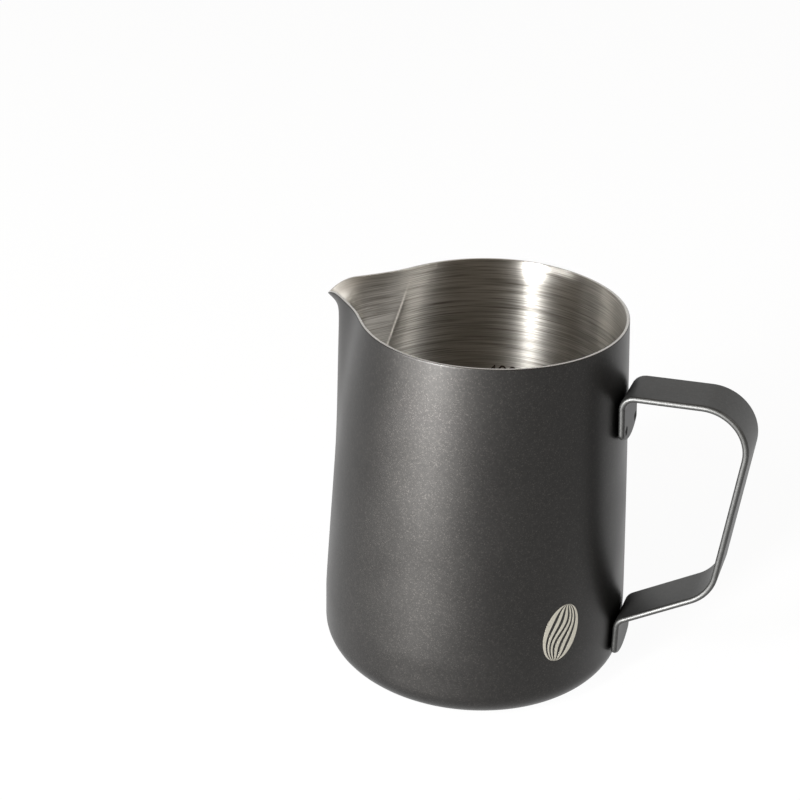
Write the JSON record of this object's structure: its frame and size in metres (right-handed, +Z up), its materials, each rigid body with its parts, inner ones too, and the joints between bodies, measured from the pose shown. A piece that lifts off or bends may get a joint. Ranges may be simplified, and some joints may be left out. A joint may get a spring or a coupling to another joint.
{
  "type": "milk frothing pitcher",
  "caption": "Single-wall steel milk pitcher with a tapering round body, rounded bottom corner, pinched pointed spout and a flat strap handle spot-welded opposite it.",
  "frame": {"origin": "centre of the flat base on the cup's axis, at the surface it stands on", "axes": "+Z up the cup's axis, +X towards the handle, -X towards the spout"},
  "size_m": [0.1273, 0.0916, 0.11],
  "materials": {
    "coated_steel": "satin dark graphite coat outside, bare brushed steel inside and on the rim",
    "coated_strap": "satin dark graphite coat",
    "weld": "satin dark graphite coat over a spot weld"
  },
  "bodies": {
    "root": {"cup_shell": "coated_steel", "strap_handle": "coated_strap", "upper_weld_left": "weld", "upper_weld_right": "weld", "lower_weld_left": "weld", "lower_weld_right": "weld"}
  },
  "joints": []
}
